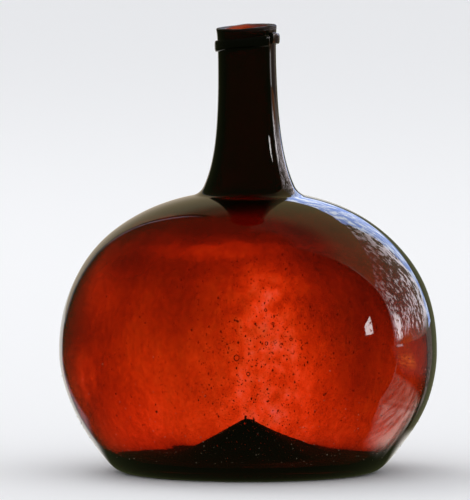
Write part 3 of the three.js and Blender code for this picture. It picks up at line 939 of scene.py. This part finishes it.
# Behind the bottle, a dim woven band at the right, a grey band at the left and a bright stretch.
olive_side = plus(page, line(page, floor_x, -1.9, 0.185), floor_y)
before_left = plus(page, line(page, floor_y, 0.404, 0.0846), floor_x)
behind_right = mask(page, (past_weave, 0.0, -0.02), (floor_x, 0.02, 0.05), (floor_y, 0.0, 0.02))
right_band = blend(page, edge(page, weave, 0.42, 0.58), (0.13, 0.09, 0.06), (0.58, 0.46, 0.42))
right_band = blend(page, edge(page, olive_side, -0.01, 0.02), right_band, OLIVE_WALL)
left_band = mask(page, (before_left, -0.030, -0.022), (floor_x, 0.0, -0.02), (floor_y, 0.02, 0.05))
bright_back = mask(page, (before_left, -0.002, 0.004), (floor_x, 0.11, 0.09), (floor_y, 0.0, 0.05))

mirrored_floor = layered(page, DARK_ROOM, (far_right, (0.17, 0.13, 0.11)), (behind_right, right_band),
                         (orange_strip, orange), (neck_streak, (2.2, 2.2, 2.3)),
                         (lit_weave, weave_colour), (front_line, (0.60, 0.48, 0.40)),
                         (left_band, (0.34, 0.30, 0.32)), (bright_back, CREAM))
floor_path = page.nodes.new("ShaderNodeLightPath").outputs
floor_strength = line(page, floor_path["Is Transmission Ray"], -INNER_LOSS, 1.0)
floor_light = glow(page, mirrored_floor, floor_strength, "ShaderNodeEmission")
floor_bounced = reckon(page, "MINIMUM", floor_path["Glossy Depth"], 1.0)
page.links.new(choice(page, floor_bounced, paper_surface.outputs["BSDF"], floor_light),
               page.nodes["Material Output"].inputs["Surface"])

room = bpy.data.worlds.new("room")
bpy.context.scene.world = room
room.use_nodes = True
air = room.node_tree
air.nodes.clear()

# The mirrored walls, by azimuth and elevation in degrees, or by the direction's own coordinates.
toward = air.nodes.new("ShaderNodeTexCoord").outputs["Generated"]
toward_x, toward_y, toward_z = parts(air, toward)
az = turn_of(air, toward_x, toward_y)
el = times(air, reckon(air, "ARCSINE", toward_z), math.degrees(1))
leaves = grain(air, toward, 7, 7)
flecks = grain(air, toward, 32, 7, (1, 1, 1.6))

# The window at the right: sunlit leaves and the shade between them, under an arched top.
off_middle = less(air, az, 135.0)
window_top = line(air, times(air, off_middle, off_middle), -0.007, 37.0)
over_top = less(air, line(air, flecks, 3.0, el), window_top)
in_window = mask(air, (az, 103.5, 104.6), (el, 74.0, 66.0))
lit_left = times(air, edge(air, az, 117.0, 106.0), 0.035)
lit_right = times(air, edge(air, az, 142.0, 151.0), 0.05)
lit_foot = times(air, edge(air, el, 18.0, 8.0), 0.03)
lit_side = plus(air, lit_left, plus(air, lit_right, lit_foot))
speckle = line(air, flecks, 0.75, times(air, leaves, 0.25))
foliage = edge(air, plus(air, lit_side, speckle), 0.53, 0.56)
sunlit = blend(air, edge(air, el, 18.0, 32.0), (3.2, 2.9, 3.1), (1.4, 1.2, 1.2))
shadows = blend(air, edge(air, el, 14.0, 30.0), (0.42, 0.34, 0.27), (0.30, 0.24, 0.14))

# Sky at the window's right side, between a jagged near edge and a curved far one.
jagged = line(air, leaves, 14.0, line(air, flecks, 8.0, -11.0))
sky_near = less(air, plus(air, az, jagged), line(air, el, 0.27, 146.2))
above_5 = reckon(air, "MAXIMUM", less(air, el, 5.0), 0.0)
sky_far = less(air, az, line(air, times(air, above_5, above_5), 0.15, 153.0))
sky = blend(air, edge(air, flecks, 0.44, 0.62), (0.80, 1.10, 2.2), (2.6, 2.8, 3.2))
above_window = blend(air, edge(air, el, 48.0, 62.0), (0.36, 0.28, 0.13), (0.13, 0.10, 0.06))
low_orange = mask(air, (az, 107.0, 110.0), (az, 124.0, 120.0), (el, 5.0, 1.0))
window_wall = layered(air, shadows, (foliage, sunlit), (edge(air, el, 4.0, 0.0), (0.46, 0.38, 0.32)),
                      (low_orange, (0.80, 0.30, 0.12)), (edge(air, sky_near, 0.0, 2.0), sky),
                      (mask(air, (sky_far, 0.0, 1.5), (el, 13.0, 9.0)), OLIVE_WALL),
                      (edge(air, over_top, 1.2, 2.0), above_window),
                      (mask(air, (az, 174.0, 177.0), (el, 12.0, 5.0)), CREAM))

# The pale wall behind, at the left of the window, which ends at a plane, and a thin line beside it.
left_side = line(air, toward_z, -0.14, line(air, toward_x, 0.9205, times(air, toward_y, 0.3907)))
from_side = reckon(air, "ABSOLUTE", less(air, az, 90.0))
in_left = mask(air, (left_side, 0.0, 0.008), (toward_y, 0.0, 0.02), (from_side, 14.0, 16.0))
thin_line = mask(air, (left_side, -0.036, -0.030), (left_side, -0.016, -0.022), (toward_y, 0.0, 0.02),
                 (el, 50.0, 40.0))
left_wall = blend(air, edge(air, el, 3.0, 24.0), (0.62, 0.52, 0.40), (0.42, 0.34, 0.20))
left_wall = layered(air, left_wall, (edge(air, el, 33.0, 44.0), (0.28, 0.15, 0.075)),
                    (edge(air, el, 46.0, 54.0), DARK_ROOM))

# A thin warm arc at the near side of the window.
off_arc = reckon(air, "ABSOLUTE", less(air, az, line(air, el, 0.06, 102.6)))
in_arc = mask(air, (off_arc, 0.7, 0.3), (el, 54.0, 44.0))
reflected = layered(air, DARK_ROOM, (in_left, left_wall), (thin_line, (0.42, 0.44, 0.55)),
                    (in_window, window_wall), (in_arc, (0.85, 0.62, 0.50)))

# Two small bright panes, which add to what is behind them.
above_13 = reckon(air, "MAXIMUM", less(air, el, 13.0), 0.0)
pane_side = less(air, az, line(air, above_13, 1.3, 76.3))
near_pane = mask(air, (pane_side, 0.0, 0.8), (az, 83.0, 82.0), (el, 7.4, 8.2), (el, 18.0, 16.5),
                 (flecks, 0.38, 0.44))
tall_pane = mask(air, (az, 105.5, 107.0), (az, 112.6, 111.6), (el, 1.0, 2.5), (el, 14.0, 11.0),
                 (flecks, 0.42, 0.50))
panes = plus(air, times(air, near_pane, 10.0), times(air, tall_pane, 4.5))

# The light by kind of ray: a plain pale backdrop for the camera and through the glass, plain daylight
# for everything else, and the mirrored room after a bounce, nearly all lost again inside the glass.
LIGHT_LEVEL = 0.95
DAYLIGHT = (0.95, 0.96, 0.98)
path = air.nodes.new("ShaderNodeLightPath").outputs
passed_through = path["Is Transmission Ray"]
bounced_off = reckon(air, "MINIMUM", path["Glossy Depth"], 1.0)
mirror_strength = line(air, passed_through, -INNER_LOSS, 1.0)
pane_strength = times(air, panes, less(air, 1.0, passed_through))
mirrored = air.nodes.new("ShaderNodeAddShader")
mirrored_room = glow(air, reflected, mirror_strength, "ShaderNodeBackground")
bright_panes = glow(air, (1.0, 1.0, 1.0), pane_strength, "ShaderNodeBackground")
plug(air, mirrored_room, mirrored.inputs[0])
plug(air, bright_panes, mirrored.inputs[1])
overhead = blend(air, edge(air, toward_z, 0.22, 0.46), PALE, DARK_ROOM)
daylight, backdrop, through_glass = (glow(air, colour, LIGHT_LEVEL, "ShaderNodeBackground")
                                     for colour in (DAYLIGHT, PALE, overhead))
light = choice(air, path["Is Camera Ray"], daylight, backdrop)
light = choice(air, passed_through, light, through_glass)
light = choice(air, bounced_off, light, mirrored.outputs[0])
plug(air, light, air.nodes.new("ShaderNodeOutputWorld").inputs["Surface"])

# One large soft lamp, above and behind at the left, which the glass neither mirrors nor lets through.
KEY_POWER = 14
KEY_WIDTH = 1.6
KEY_PLACE = (-1.2, 1.6, 2.4)
KEY_TURN = (math.radians(-34), math.radians(-24), 0)
key = bpy.data.lights.new("soft_key", "AREA")
key.energy = KEY_POWER
key.size = KEY_WIDTH
key_lamp = bpy.data.objects.new("soft_key", key)
key_lamp.location = KEY_PLACE
key_lamp.rotation_euler = KEY_TURN
key_lamp.visible_glossy = False
key_lamp.visible_transmission = False
bpy.context.scene.collection.objects.link(key_lamp)

# The camera looks down by 4 degrees on the middle of the picture, whose height is in metres.
CAMERA_DISTANCE = 6.0
CAMERA_ELEVATION = math.radians(4)
SENSOR_WIDTH = 36
PICTURE_HEIGHT = 0.25
PICTURE_CENTRE = (-6.4 * MM, 0.0, 110.9 * MM)
lens = bpy.data.cameras.new("camera")
lens.sensor_width = SENSOR_WIDTH
lens.lens = SENSOR_WIDTH * CAMERA_DISTANCE / PICTURE_HEIGHT
camera = bpy.data.objects.new("camera", lens)
camera.location = (PICTURE_CENTRE[0], -CAMERA_DISTANCE * math.cos(CAMERA_ELEVATION),
                   PICTURE_CENTRE[2] + CAMERA_DISTANCE * math.sin(CAMERA_ELEVATION))
camera.rotation_euler = (math.pi / 2 - CAMERA_ELEVATION, 0, 0)
bpy.context.scene.collection.objects.link(camera)
bpy.context.scene.camera = camera
bpy.context.scene.view_settings.view_transform = "Standard"
